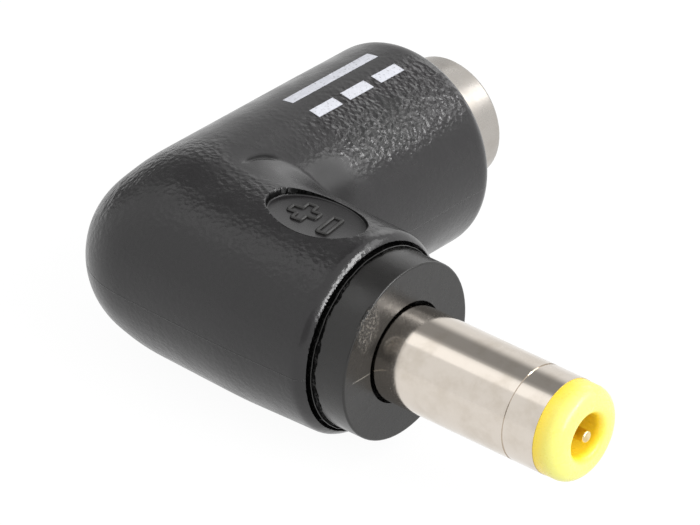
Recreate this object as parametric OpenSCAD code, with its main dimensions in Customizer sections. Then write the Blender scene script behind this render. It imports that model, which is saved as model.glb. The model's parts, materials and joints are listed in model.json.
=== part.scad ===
// Right-angle DC power adapter: a 5.5 mm barrel plug with a centre pin on one leg of a moulded elbow,
// and a 5.5 / 2.1 mm power socket on the other.
// Frame: the origin is where the barrel leaves the collar, on the barrel's axis. +X runs out along the plug,
// +Y runs out of the socket and +Z is up, square to both legs. Lengths are in millimetres.

/* [Barrel] */
// Outer diameter of the barrel that enters the socket
barrel_d = 5.5; // [5:0.05:6]
// Length of bare barrel, from the collar to the tip insulator
barrel_len = 10.8; // [8:0.1:14]
// Wall of the barrel's tube
barrel_wall = 0.5; // [0.45:0.05:0.55]
// How far the shank inside the collar is set in from the barrel's outline
shank_inset = 0.2; // [0.16:0.01:0.25]
// Diameter of the flange at the barrel's root
root_flange_d = 7.2; // [6.6:0.1:7.6]
// Thickness of the flange at the barrel's root
root_flange_t = 0.8; // [0.5:0.1:1.2]
// Distance from the end of the barrel back to the rolled line
line_back = 2; // [1.5:0.1:3]
// Width of the rolled line
line_w = 0.12; // [0.08:0.01:0.2]
// Depth of the rolled line
line_depth = 0.05; // [0.03:0.01:0.08]

/* [Tip insulator] */
// Length of the insulator's head in front of the barrel
tip_len = 1.65; // [1.4:0.05:2.5]
// How far the head stays inside the barrel's outline
tip_inset = 0.03; // [0.01:0.01:0.1]
// Rounding of the head's front edge
tip_round = 0.9; // [0.4:0.05:1]
// Diameter of the hole round the centre pin
tip_hole_d = 2.4; // [2.1:0.05:2.5]
// Rounding of the hole's mouth
hole_round = 0.6; // [0.2:0.05:0.6]
// Length of the insulator's bush inside the barrel
bush_len = 9; // [6:0.1:9.5]

/* [Plug pin] */
// Diameter of the plug's centre pin
plug_pin_d = 0.7; // [0.6:0.05:1]
// How far the pin's end stays behind the front of the tip
plug_pin_inset = 0.15; // [0.05:0.05:1]
// Rounding of the pin's end
plug_pin_round = 0.12; // [0.05:0.01:0.2]
// Diameter of the pin's stem inside the core
plug_stem_d = 1.1; // [1.05:0.05:1.25]
// Diameter of the shoulder that holds the pin in its core
plug_pin_shoulder_d = 1.6; // [1.3:0.1:2]
// Thickness of that shoulder
plug_pin_shoulder_t = 0.3; // [0.2:0.05:0.5]
// Thickness of the washer under the shoulder
plug_washer_t = 0.3; // [0.2:0.05:0.5]
// Diameter of that washer
plug_washer_d = 4; // [3.2:0.1:4.4]

/* [Collar] */
// Diameter of the collar
collar_d = 10.2; // [9.6:0.05:10.4]
// How far the collar stands out of the housing
collar_proud = 2.15; // [1.6:0.05:3]
// Length of the collar inside the housing
collar_seat = 4.9; // [4:0.1:5]
// Rounding of the collar's front edge
collar_edge = 0.12; // [0.05:0.01:0.3]
// Diameter of the relief round the barrel in the collar's face
relief_d = 5.84; // [5.7:0.02:6.2]
// Depth of that relief
relief_depth = 1.2; // [0.6:0.1:1.6]
// Diameter at the bottom of the lock groove
lock_d = 8.6; // [8.2:0.1:9.2]
// Width of the lock groove
lock_w = 1.4; // [1:0.1:1.8]
// Distance from the collar's rear face to the lock groove
lock_back = 1.2; // [0.8:0.1:1.6]

/* [Housing, plug leg] */
// Distance from the seat face back to the socket's axis
elbow_reach = 14.2; // [14:0.1:17]
// Diameter of the plug leg at its fullest
plug_leg_d = 11.86; // [11.6:0.02:12]
// Distance from the socket's axis to the fullest section
full_at = 6.2; // [5:0.1:7]
// Drop of the plug leg's radius from the fullest section to the elbow
elbow_drop = 0.18; // [0.05:0.01:0.3]
// Drop of the plug leg's radius from the fullest section to the mouth
mouth_drop = 0.12; // [0.05:0.01:0.2]
// Rounding of the mouth's rim
mouth_round = 0.6; // [0.3:0.05:0.65]
// Width of the dark line between rim and collar
mouth_gap = 0.08; // [0.04:0.01:0.15]
// Depth of that line behind the rim
mouth_gap_depth = 0.6; // [0.3:0.1:1]

/* [Housing, socket leg] */
// Diameter of the socket leg
socket_leg_d = 12.14; // [11.9:0.02:12.4]
// Distance from the plug's axis to the socket leg's end face
socket_leg_len = 17.6; // [17:0.1:20]
// Rounding of the socket leg's end
socket_round = 1; // [0.4:0.05:1.2]
// Distance from the plug's axis to where the socket leg turns into the elbow's dome
dome_at = 0.5; // [0.3:0.05:0.8]

/* [Housing, corner and turn] */
// Radius of the ball that fills the elbow's outer corner
corner_r = 5.18; // [4.9:0.02:5.3]
// Offset of the ball's centre away from the plug's mouth
corner_back = 1.06; // [0.8:0.02:1.2]
// Offset of the ball's centre away from the socket's mouth
corner_offset = 0.55; // [0.4:0.02:0.7]
// Radius of the centre line on which the plug leg's section turns towards the socket
turn_r = 5.2; // [5:0.05:5.5]
// How far the turned section stays inside the plug leg's flank where it leaves it
turn_inset = 0.02; // [0.01:0.01:0.05]

/* [Oval recess] */
// Length of the oval recess on top of the plug leg
oval_l = 6.3; // [5.5:0.1:7]
// Width of the oval recess
oval_w = 4.2; // [3.6:0.1:4.4]
// Distance from the socket's axis to the recess's centre
oval_at = 7.62; // [7.2:0.02:7.9]
// Offset of the recess's centre towards the socket
oval_offset = 0.2; // [0:0.05:0.3]
// Depth of the recess's floor below the leg's crest
oval_depth = 0.56; // [0.5:0.02:0.7]

/* [Socket] */
// Outer diameter of the socket's shell
shell_d = 7.24; // [7.1:0.02:7.6]
// How far the shell stands out of the housing
shell_proud = 3.55; // [3:0.05:4.5]
// Length of the shell from its rear face to its mouth
shell_len = 11.9; // [11.5:0.1:12.4]
// Diameter of the socket's bore
bore_d = 5.7; // [5.65:0.01:5.8]
// Chamfer at the bore's mouth
mouth_chamfer = 0.3; // [0.1:0.05:0.4]
// Rounding of the shell's outer edge
shell_edge = 0.15; // [0.05:0.05:0.3]
// Diameter of the flange at the shell's rear
shell_flange_d = 8.8; // [8.4:0.1:9.2]
// Thickness of that flange
shell_flange_t = 1; // [0.7:0.1:1.4]
// Thickness of the base that closes the shell
base_t = 1.8; // [1.4:0.1:2.2]
// Diameter of the socket's centre pin
socket_pin_d = 2.1; // [1.9:0.05:2.5]
// How far the pin's end stays behind the shell's mouth
socket_pin_inset = 1; // [0.4:0.1:2]
// Rounding of the socket pin's end
socket_pin_round = 0.5; // [0.2:0.05:0.7]
// Diameter of the pin's stem through the base
stem_d = 1.2; // [1:0.05:1.4]
// Thickness of the washer behind the base
socket_washer_t = 0.3; // [0.2:0.05:0.5]
// Diameter of that washer
socket_washer_d = 4; // [3.4:0.1:4.4]
// Diameter of the rivet head on the stem
stem_head_d = 1.8; // [1.6:0.1:2.2]
// Thickness of the rivet head
stem_head_t = 0.3; // [0.2:0.05:0.5]

/* [Spring] */
// Width of the leaf spring
leaf_w = 1.6; // [1.2:0.1:2]
// Thickness of the leaf
leaf_t = 0.2; // [0.15:0.01:0.25]
// Length of the leaf along the bore
leaf_len = 6.4; // [5:0.1:7]
// How far the leaf bows into the bore
leaf_bow = 0.45; // [0.35:0.05:0.6]
// Depth of the slot that the leaf bends back into
slot_depth = 0.3; // [0.25:0.01:0.4]
// Play between the leaf and the slot's sides
slot_play = 0.1; // [0.05:0.05:0.2]
// Play at the slot's far end
slot_end_play = 0.6; // [0.4:0.1:1]
// Reach of the leaf's foot from the bore's wall across the base
foot_len = 0.9; // [0.6:0.05:1]

/* [Wiring] */
// Diameter of a wire's strands
strand_d = 0.7; // [0.6:0.05:0.8]
// Diameter of a wire's insulation
jacket_d = 1.4; // [1.2:0.05:1.5]
// Radius of the wires' bend round the elbow
bend_r = 2.8; // [2.5:0.1:3]
// Distance of the negative wire below the positive one
drop = 2.3; // [2.2:0.05:2.5]
// Length of bare strands at each joint
strip_len = 0.9; // [0.8:0.05:1.1]
// Thickness of the solder lugs
lug_t = 0.3; // [0.2:0.05:0.4]
// Diameter of the ring on the socket's lug
socket_lug_d = 7.2; // [6.8:0.1:7.6]
// Width of a lug's tab
tab_w = 1.5; // [1.3:0.1:1.8]
// Gap between the end of a lug's tab and the jacket
tab_gap = 0.1; // [0.05:0.05:0.2]
// Film of solder between the strands and the tab
film_t = 0.08; // [0.05:0.01:0.12]
// Gap between a lug's ring and the end of the strands
strand_gap = 0.5; // [0.4:0.05:0.6]
// Length of each contact's tail into its solder bead
tail_len = 0.6; // [0.5:0.05:0.7]
// Diameter of a solder bead
bead_d = 1.5; // [1.4:0.05:1.6]
// Gap between the rivet heads and the beads
bead_gap = 0.1; // [0.05:0.05:0.2]

/* [Inner mould] */
// Diameter of the inner mould's legs
inner_d = 8.2; // [7.9:0.1:8.4]
// Distance from the elbow to the inner mould's outer ends
inner_end = 3.5; // [3.2:0.1:3.7]

/* [Hidden] */
$fn = 96;
// A cutting tool runs this far past what it cuts
past = 1;

// Plug axis, measured from the seat face, negative inside
collar_rear = -collar_proud - collar_seat;
flange_rear = collar_rear - root_flange_t;
plug_lug_rear = flange_rear - lug_t;
plug_washer_rear = flange_rear - plug_washer_t;
plug_shoulder_rear = plug_washer_rear - plug_pin_shoulder_t;
plug_tail_end = plug_shoulder_rear - tail_len;
barrel_bore_d = barrel_d - 2 * barrel_wall;
bush_rear = barrel_len - bush_len;
tip_front = barrel_len + tip_len;
shank_d = barrel_d - 2 * shank_inset;

// Socket axis, measured from the plug's axis
shell_front = socket_leg_len + shell_proud;
shell_rear = shell_front - shell_len;
base_front = shell_rear + base_t;
socket_lug_rear = shell_rear - lug_t;
socket_washer_rear = shell_rear - socket_washer_t;
stem_head_rear = socket_washer_rear - stem_head_t;
socket_tail_end = stem_head_rear - tail_len;

// Wires and lugs
wire_z = -drop;
tab_top = wire_z - strand_d / 2 - film_t;
plug_strand_end = plug_lug_rear - strand_gap;
socket_strand_end = socket_lug_rear - strand_gap;
tab_reach = lug_t + strand_gap + strip_len - tab_gap;
bore_r = bore_d / 2;
core_share = 0.8;
core_lap = 0.2;

// What follows is drawn up the Z axis and laid along the plug's or the socket's axis
module along_plug() {
    rotate([0, 90, 0]) children();
}

module along_socket() {
    translate([-elbow_reach, 0, 0]) rotate([-90, 0, 0]) children();
}

// A round bar from one height to another
module bar(d, from, to) {
    translate([0, 0, from]) cylinder(d = d, h = to - from);
}

module tube(d_out, d_in, from, to) {
    difference() {
        bar(d_out, from, to);
        bar(d_in, from - past, to + past);
    }
}

// Half profile of a bar whose far edge is rounded
module edged_profile(r, from, to, edge) {
    translate([0, from]) square([r, to - from - edge]);
    translate([0, from]) square([r - edge, to - from]);
    translate([r - edge, to - edge]) intersection() {
        circle(r = edge);
        square(2 * edge);
    }
}

module edged_bar(d, from, to, edge) {
    rotate_extrude() edged_profile(d / 2, from, to, edge);
}

// ---- Housing ----

// The plug leg's flank runs straight from the elbow to the fullest section and from there to the rim
module plug_leg() {
    r_full = plug_leg_d / 2;
    r_elbow = r_full - elbow_drop;
    r_mouth = r_full - mouth_drop;
    mouth_z = elbow_reach - collar_proud;
    round_z = mouth_z - mouth_round;
    along_plug() translate([0, 0, -elbow_reach]) {
        sphere(r = r_elbow);
        rotate_extrude() {
            polygon([
                [0, 0], [r_elbow, 0], [r_full, full_at], [r_mouth, round_z],
                [r_mouth - mouth_round, mouth_z], [0, mouth_z]
            ]);
            translate([r_mouth - mouth_round, round_z]) circle(r = mouth_round);
        }
    }
}

module socket_leg() {
    along_socket() {
        translate([0, 0, dome_at]) sphere(d = socket_leg_d);
        edged_bar(socket_leg_d, dome_at, socket_leg_len, socket_round);
    }
}

// The ball fills the outer corner
module corner() {
    translate([-elbow_reach - corner_back, -corner_offset, 0]) sphere(r = corner_r);
}

// The plug leg's section turns towards the socket leg, which fills the top of the valley between the legs
module turn() {
    leg_r = plug_leg_d / 2 - elbow_drop * (1 - turn_r / full_at);
    turned_r = leg_r - turn_inset;
    translate([turn_r - elbow_reach, turn_r, 0])
        rotate([0, 0, 180]) rotate_extrude(angle = 90) intersection() {
            translate([turn_r, 0]) circle(r = turned_r);
            translate([0, -turned_r]) square([turn_r + turned_r, 2 * turned_r]);
        }
}

module oval_pocket() {
    floor_z = plug_leg_d / 2 - oval_depth;
    translate([oval_at - elbow_reach, oval_offset, floor_z])
        scale([oval_l / oval_w, 1, 1]) cylinder(d = oval_w, h = oval_depth + past);
}

module housing() {
    color([0.13, 0.13, 0.14]) difference() {
        union() {
            plug_leg();
            socket_leg();
            corner();
            turn();
        }
        collar_body();
        along_plug() bar(collar_d + 2 * mouth_gap, -collar_proud - mouth_gap_depth, past);
        inner_body();
        shell_body();
        oval_pocket();
    }
}

// ---- Collar ----

// The collar's outside, with the groove that locks it into the housing
module collar_body() {
    lock_from = collar_rear + lock_back;
    along_plug() difference() {
        edged_bar(collar_d, collar_rear, 0, collar_edge);
        tube(collar_d + past, lock_d, lock_from, lock_from + lock_w);
    }
}

module collar() {
    color([0.17, 0.17, 0.18]) difference() {
        collar_body();
        along_plug() {
            bar(relief_d, -relief_depth, past);
            bar(shank_d, collar_rear - past, 0);
        }
    }
}

// ---- Plug contacts ----

module barrel_sleeve() {
    line_z = barrel_len - line_back;
    color([0.78, 0.76, 0.72]) along_plug() difference() {
        union() {
            bar(root_flange_d, flange_rear, collar_rear);
            bar(shank_d, flange_rear, past);
            bar(barrel_d, 0, barrel_len);
        }
        bar(barrel_bore_d, flange_rear - past, barrel_len + past);
        tube(barrel_d + past, barrel_d - 2 * line_depth, line_z - line_w / 2, line_z + line_w / 2);
    }
}

// What is cut away to round the mouth of the tip's hole
module mouth_cutter() {
    mouth_z = tip_front - hole_round;
    rotate_extrude() difference() {
        translate([tip_hole_d / 4, mouth_z]) square([tip_hole_d / 4 + hole_round, hole_round + past]);
        translate([tip_hole_d / 2 + hole_round, mouth_z]) circle(r = hole_round);
    }
}

module tip_insulator() {
    color([0.95, 0.87, 0.25]) along_plug() difference() {
        union() {
            bar(barrel_bore_d, bush_rear, tip_front - tip_round);
            edged_bar(barrel_d - 2 * tip_inset, barrel_len, tip_front, tip_round);
        }
        bar(tip_hole_d, bush_rear - past, tip_front + past);
        mouth_cutter();
    }
}

module plug_core() {
    color([0.86, 0.84, 0.78]) along_plug() tube(barrel_bore_d, plug_stem_d, flange_rear, bush_rear);
}

module plug_pin() {
    color([0.8, 0.66, 0.36]) along_plug() {
        edged_bar(plug_pin_d, plug_shoulder_rear, tip_front - plug_pin_inset, plug_pin_round);
        bar(plug_stem_d, plug_tail_end, bush_rear);
        bar(plug_pin_shoulder_d, plug_shoulder_rear, plug_washer_rear);
    }
}

module plug_washer() {
    color([0.62, 0.45, 0.3]) along_plug() tube(plug_washer_d, plug_stem_d, plug_washer_rear, flange_rear);
}

module plug_lug() {
    color([0.75, 0.74, 0.7]) {
        along_plug() tube(root_flange_d, plug_washer_d, plug_lug_rear, flange_rear);
        translate([flange_rear - tab_reach, -tab_w / 2, tab_top - lug_t]) cube([tab_reach, tab_w, lug_t]);
    }
}

// ---- Socket ----

module shell_body() {
    along_socket() {
        edged_bar(shell_d, shell_rear, shell_front, shell_edge);
        bar(shell_flange_d, shell_rear, shell_rear + shell_flange_t);
    }
}

module leaf_slot() {
    slot_w = leaf_w + 2 * slot_play;
    translate([-elbow_reach - slot_w / 2, base_front, -bore_r - slot_depth])
        cube([slot_w, leaf_len + slot_end_play, bore_r]);
}

module socket_shell() {
    color([0.78, 0.76, 0.72]) difference() {
        shell_body();
        along_socket() {
            bar(bore_d, shell_rear - past, shell_front + past);
            translate([0, 0, shell_front - mouth_chamfer])
                cylinder(d1 = bore_d, d2 = bore_d + 2 * mouth_chamfer, h = mouth_chamfer);
        }
        leaf_slot();
    }
}

module socket_base() {
    color([0.12, 0.12, 0.12]) along_socket() tube(bore_d, stem_d, shell_rear, base_front);
}

module socket_pin() {
    color([0.8, 0.78, 0.74]) along_socket() {
        edged_bar(socket_pin_d, base_front, shell_front - socket_pin_inset, socket_pin_round);
        bar(stem_d, socket_tail_end, base_front + past);
        bar(stem_head_d, stem_head_rear, socket_washer_rear);
    }
}

module socket_washer() {
    color([0.62, 0.45, 0.3]) along_socket() tube(socket_washer_d, stem_d, socket_washer_rear, shell_rear);
}

// The leaf is an arc that rests in its slot at both ends and bows into the bore between them
module socket_spring() {
    arc_r = (pow(leaf_len / 2, 2) + pow(leaf_bow, 2)) / (2 * leaf_bow);
    slot_floor = -bore_r - slot_depth;
    color([0.82, 0.68, 0.4]) translate([-elbow_reach, 0, 0]) {
        intersection() {
            translate([0, base_front + leaf_len / 2, slot_floor + leaf_t + leaf_bow - arc_r])
                rotate([0, 90, 0]) tube(2 * arc_r, 2 * (arc_r - leaf_t), -leaf_w / 2, leaf_w / 2);
            translate([-leaf_w / 2, base_front, slot_floor]) cube([leaf_w, leaf_len, leaf_bow + 2 * leaf_t]);
        }
        translate([-leaf_w / 2, base_front, slot_floor]) cube([leaf_w, leaf_t, slot_depth + foot_len]);
    }
}

module socket_lug() {
    color([0.75, 0.74, 0.7]) {
        along_socket() tube(socket_lug_d, socket_washer_d, socket_lug_rear, shell_rear);
        translate([-elbow_reach - tab_w / 2, shell_rear - tab_reach, tab_top - lug_t])
            cube([tab_w, tab_reach, lug_t]);
    }
}

// ---- Wiring ----

// A wire leaves the plug's contact, turns round the elbow and runs up to the socket's contact. A slimmer core
// runs on from each straight into the bend, so that they are one solid.
module wire(d, plug_end, socket_end) {
    core_d = core_share * d;
    along_plug() {
        bar(d, bend_r - elbow_reach, plug_end);
        bar(core_d, bend_r - elbow_reach - core_lap, plug_end);
    }
    along_socket() {
        bar(d, bend_r, socket_end);
        bar(core_d, bend_r - core_lap, socket_end);
    }
    translate([bend_r - elbow_reach, bend_r, 0])
        rotate([0, 0, 180]) rotate_extrude(angle = 90) translate([bend_r, 0]) circle(d = d);
}

module jacket(plug_end, socket_end) {
    difference() {
        wire(jacket_d, plug_end - strip_len, socket_end - strip_len);
        wire(strand_d, plug_end, socket_end);
    }
}

module positive_strands() {
    color([0.85, 0.5, 0.3]) wire(strand_d, plug_tail_end, socket_tail_end);
}

module positive_jacket() {
    color([0.7, 0.1, 0.1]) jacket(plug_tail_end, socket_tail_end);
}

module negative_strands() {
    color([0.85, 0.5, 0.3]) translate([0, 0, wire_z]) wire(strand_d, plug_strand_end, socket_strand_end);
}

module negative_jacket() {
    color([0.1, 0.1, 0.1]) translate([0, 0, wire_z]) jacket(plug_strand_end, socket_strand_end);
}

// A bead of solder joins a contact's tail to the strands that butt against it
module plug_pin_bead() {
    along_plug() bar(bead_d, plug_tail_end - strip_len, plug_shoulder_rear - bead_gap);
}

module socket_pin_bead() {
    along_socket() bar(bead_d, socket_tail_end - strip_len, stem_head_rear - bead_gap);
}

module plug_pin_solder() {
    color([0.7, 0.7, 0.72]) difference() {
        plug_pin_bead();
        along_plug() bar(plug_stem_d, plug_tail_end, 0);
        wire(strand_d, plug_tail_end, socket_tail_end);
    }
}

module socket_pin_solder() {
    color([0.7, 0.7, 0.72]) difference() {
        socket_pin_bead();
        along_socket() bar(stem_d, socket_tail_end, shell_rear);
        wire(strand_d, plug_tail_end, socket_tail_end);
    }
}

// On a lug the solder is a half-round heap over the strands
module plug_lug_heap() {
    intersection() {
        translate([0, 0, wire_z]) along_plug() bar(bead_d, plug_strand_end - strip_len, plug_strand_end);
        translate([plug_strand_end - strip_len - past, -bead_d, tab_top])
            cube([strip_len + 2 * past, 2 * bead_d, bead_d]);
    }
}

module socket_lug_heap() {
    intersection() {
        translate([0, 0, wire_z]) along_socket() bar(bead_d, socket_strand_end - strip_len, socket_strand_end);
        translate([-elbow_reach - bead_d, socket_strand_end - strip_len - past, tab_top])
            cube([2 * bead_d, strip_len + 2 * past, bead_d]);
    }
}

module plug_lug_solder() {
    color([0.7, 0.7, 0.72]) difference() {
        plug_lug_heap();
        translate([0, 0, wire_z]) wire(strand_d, plug_strand_end, socket_strand_end);
    }
}

module socket_lug_solder() {
    color([0.7, 0.7, 0.72]) difference() {
        socket_lug_heap();
        translate([0, 0, wire_z]) wire(strand_d, plug_strand_end, socket_strand_end);
    }
}

// ---- Inner mould ----

module inner_body() {
    along_plug() bar(inner_d, -elbow_reach - inner_end, collar_rear);
    along_socket() bar(inner_d, -inner_end, shell_rear);
}

// What the inner mould encloses, as one cutting shape
module inner_contents() {
    along_plug() {
        bar(root_flange_d, plug_lug_rear, collar_rear);
        bar(plug_pin_shoulder_d, plug_shoulder_rear, flange_rear);
    }
    along_socket() {
        bar(socket_lug_d, socket_lug_rear, shell_rear);
        bar(stem_head_d, stem_head_rear, shell_rear);
        bar(stem_d, socket_tail_end, shell_rear);
    }
    plug_lug();
    socket_lug();
    plug_pin_bead();
    socket_pin_bead();
    plug_lug_heap();
    socket_lug_heap();
    along_plug() bar(plug_stem_d, plug_tail_end, flange_rear);
    wire(strand_d, plug_tail_end, socket_tail_end);
    wire(jacket_d, plug_tail_end - strip_len, socket_tail_end - strip_len);
    translate([0, 0, wire_z]) {
        wire(strand_d, plug_strand_end, socket_strand_end);
        wire(jacket_d, plug_strand_end - strip_len, socket_strand_end - strip_len);
    }
}

module inner_mould() {
    color([0.9, 0.89, 0.84]) difference() {
        inner_body();
        inner_contents();
    }
}

housing();
inner_mould();
collar();
barrel_sleeve();
tip_insulator();
plug_pin();
plug_core();
plug_washer();
plug_lug();
socket_shell();
socket_base();
socket_pin();
socket_spring();
socket_washer();
socket_lug();
positive_strands();
positive_jacket();
negative_strands();
negative_jacket();
plug_pin_solder();
plug_lug_solder();
socket_pin_solder();
socket_lug_solder();
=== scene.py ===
# %% [markdown]
# # A right-angle power adapter
# A black moulded elbow joins two round power connectors: a nickel barrel with a yellow tip on one leg,
# and a nickel socket on the other. The engineering model comes first and stays as it is. This file gives
# it its finishes, the marks on its elbow, a floor, lights and a camera.

# %% Load the model
import json
import math
import bmesh
import bpy
from mathutils import Matrix, Vector

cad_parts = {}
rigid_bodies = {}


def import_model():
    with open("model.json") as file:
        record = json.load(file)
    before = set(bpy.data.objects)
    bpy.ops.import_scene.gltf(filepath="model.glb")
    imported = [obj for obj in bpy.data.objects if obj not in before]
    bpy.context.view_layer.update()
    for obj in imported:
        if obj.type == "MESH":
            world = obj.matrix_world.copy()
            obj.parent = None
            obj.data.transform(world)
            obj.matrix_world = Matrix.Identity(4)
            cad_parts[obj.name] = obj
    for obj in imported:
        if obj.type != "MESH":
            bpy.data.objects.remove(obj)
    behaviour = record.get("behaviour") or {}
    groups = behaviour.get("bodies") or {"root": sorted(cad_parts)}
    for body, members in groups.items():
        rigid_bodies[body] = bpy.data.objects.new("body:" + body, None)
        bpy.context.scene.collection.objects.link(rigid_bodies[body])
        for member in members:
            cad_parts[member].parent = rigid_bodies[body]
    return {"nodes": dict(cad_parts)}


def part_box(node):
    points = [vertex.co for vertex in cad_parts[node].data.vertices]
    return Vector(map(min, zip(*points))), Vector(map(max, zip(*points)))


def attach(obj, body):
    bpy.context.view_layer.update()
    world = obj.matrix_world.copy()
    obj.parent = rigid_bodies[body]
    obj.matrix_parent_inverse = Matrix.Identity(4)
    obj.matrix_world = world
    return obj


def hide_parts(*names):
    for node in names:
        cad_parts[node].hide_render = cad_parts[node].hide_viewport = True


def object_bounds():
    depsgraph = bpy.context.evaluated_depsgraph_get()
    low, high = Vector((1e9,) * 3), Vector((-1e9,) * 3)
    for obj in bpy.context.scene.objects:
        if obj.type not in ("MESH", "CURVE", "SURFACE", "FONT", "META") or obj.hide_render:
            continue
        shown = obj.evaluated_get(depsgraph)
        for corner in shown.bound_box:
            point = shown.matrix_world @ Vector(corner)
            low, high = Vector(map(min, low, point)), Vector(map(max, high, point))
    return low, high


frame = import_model()
cad_box = [list(corner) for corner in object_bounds()]
MM = 0.001
scene = bpy.context.scene
print("pieces:", ", ".join(sorted(frame["nodes"])))
print("box in mm:", [[round(v / MM, 2) for v in corner] for corner in cad_box])

# %% [markdown]
# The plug points along X from the origin, and the socket along Y. The main sizes are read off the model,
# in millimetres, so that what is made here fits it.

# %% Sizes from the model


def box_mm(node):
    """A node's lowest and highest corners, to a hundredth of a millimetre."""
    return [[round(v / MM, 2) for v in corner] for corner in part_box(node)]


housing_low, housing_high = box_mm("housing")
shell_low, shell_high = box_mm("socket_shell")
AXIS_X = round((shell_low[0] + shell_high[0]) / 2, 2)
PLUG_R, SOCKET_R, COLLAR_R = -housing_low[1], housing_high[2], -box_mm("collar")[0][2]
MOUTH_X, SOCKET_END = housing_high[:2]
TIP_BACK, TIP_FRONT = box_mm("barrel_sleeve")[1][0], box_mm("tip_insulator")[1][0]
print("socket's axis at x", AXIS_X, "radii", PLUG_R, SOCKET_R, COLLAR_R, "mouth at", MOUTH_X)

# %% [markdown]
# ## The camera
# The adapter is small, so it is seen through a long lens from about 40 cm away, which leaves its two legs
# almost without perspective. The camera is placed by the direction it looks from, and the point it looks
# at.

# %% The camera
AZIMUTH, ELEVATION, ROLL = (math.radians(angle) for angle in (38.525, 30.832, 2.656))
DISTANCE = 400 * MM
AIM = Vector((-8.017, 5.019, 0.021)) * MM
LENS, SENSOR_WIDTH = 381.25, 36
NEAREST, FARTHEST = 0.01, 10


def view_axes(azimuth, elevation):
    """The right, up and backward directions of what looks at the part from there."""
    flat = math.cos(elevation)
    back = Vector((math.sin(azimuth) * flat, -math.cos(azimuth) * flat, math.sin(elevation)))
    right = Vector((math.cos(azimuth), math.sin(azimuth), 0))
    return right, back.cross(right), back


def stand_at(axes, distance):
    """The place at that distance behind the aim, turned to look at it."""
    return Matrix.Translation(AIM + distance * axes[2]) @ Matrix(axes).transposed().to_4x4()


right, up, back = view_axes(AZIMUTH, ELEVATION)
rolled_right = math.cos(ROLL) * right + math.sin(ROLL) * up
rolled_up = math.cos(ROLL) * up - math.sin(ROLL) * right
camera_data = bpy.data.cameras.new("camera")
camera_data.lens, camera_data.sensor_width = LENS, SENSOR_WIDTH
camera_data.clip_start, camera_data.clip_end = NEAREST, FARTHEST
camera = bpy.data.objects.new("camera", camera_data)
scene.collection.objects.link(camera)
camera.matrix_world = stand_at((rolled_right, rolled_up, back), DISTANCE)
scene.camera = camera
print("camera at", [round(v, 3) for v in camera.matrix_world.translation])

# %% [markdown]
# ## Floor and light
# Small parts like this are shown on a white table in a tent of white cloth, so that light comes from
# every side. The sky here is the tent. The table glows by itself, as a light table does, which keeps it
# white and leaves only a faint shadow where the part stands. A few large soft lamps add the brighter
# stripe on the metal.

# %% Helpers that start a material and add nodes


def new_material(name):
    made = bpy.data.materials.new(name)
    made.use_nodes = True
    return made, made.node_tree, made.node_tree.nodes["Principled BSDF"]


def set_inputs(tree, node, **inputs):
    """Set a node's sockets by name, or by number as in _0, each to a value or to another node's output."""
    for name, value in inputs.items():
        socket = node.inputs[int(name[1:])] if name[0] == "_" else node.inputs[name.replace("_", " ")]
        if isinstance(value, bpy.types.NodeSocket):
            tree.links.new(value, socket)
        else:
            socket.default_value = value


def add_node(tree, kind, properties=None, **inputs):
    node = tree.nodes.new("ShaderNode" + kind)
    for name, value in (properties or {}).items():
        setattr(node, name, value)
    set_inputs(tree, node, **inputs)
    return node


def grey(value):
    return value, value, value, 1


# %% The floor
FLOOR_SIZE = 3
FLOOR_GREY, FLOOR_GLOW = 0.06, 0.95
floor_z = cad_box[0][2]
bpy.ops.object.select_all(action="DESELECT")
bpy.ops.mesh.primitive_plane_add(size=FLOOR_SIZE, location=(0, 0, floor_z))
floor = bpy.context.object
floor.name = "floor"
floor_material, tree, shader = new_material("white table")
set_inputs(tree, shader, Base_Color=grey(FLOOR_GREY), Roughness=0.9, Specular_IOR_Level=0,
           Emission_Color=grey(1), Emission_Strength=FLOOR_GLOW)
floor.data.materials.append(floor_material)
print("floor at", round(floor_z / MM, 2), "mm")

# %% [markdown]
# The tent has a dark door behind the part on the left, which the metal reflects as a dark band beside its
# bright stripe, and a small dim hole near the camera. Both fade softly into the cloth at their edges.

# %% The tent, its door and its hole
TENT_BRIGHTNESS, DOOR_BRIGHTNESS, HOLE_BRIGHTNESS = 0.98, 0.34, 0.5
DOOR_AZIMUTH, DOOR_LEAN = -108, 0.17
DOOR_ENDS, DOOR_SIDES = (0.0, 0.3), (0.5, 0.18)
HOLE_AZIMUTH, HOLE_ELEVATION, HOLE_RIM = 27, 10, (0.88, 0.97)
world = bpy.data.worlds.new("tent")
world.use_nodes = True
scene.world = world
tree = world.node_tree
door_middle = view_axes(math.radians(DOOR_AZIMUTH), 0)[2]
door_across = view_axes(math.radians(DOOR_AZIMUTH + 90), 0)[2] + Vector((0, 0, DOOR_LEAN))
hole_middle = view_axes(math.radians(HOLE_AZIMUTH), math.radians(HOLE_ELEVATION))[2]
sky = add_node(tree, "TexCoord").outputs["Generated"]


def soft_step(value, start, end):
    return add_node(tree, "MapRange", {"interpolation_type": "SMOOTHSTEP"}, Value=value, From_Min=start,
                    From_Max=end).outputs["Result"]


def toward(direction):
    return add_node(tree, "VectorMath", {"operation": "DOT_PRODUCT"}, _0=sky, _1=direction).outputs["Value"]


def darker(amount, plain, dark):
    """From plain where the amount is 0 to dark where it is 1."""
    return add_node(tree, "MapRange", Value=amount, To_Min=plain, To_Max=dark).outputs["Result"]


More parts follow.
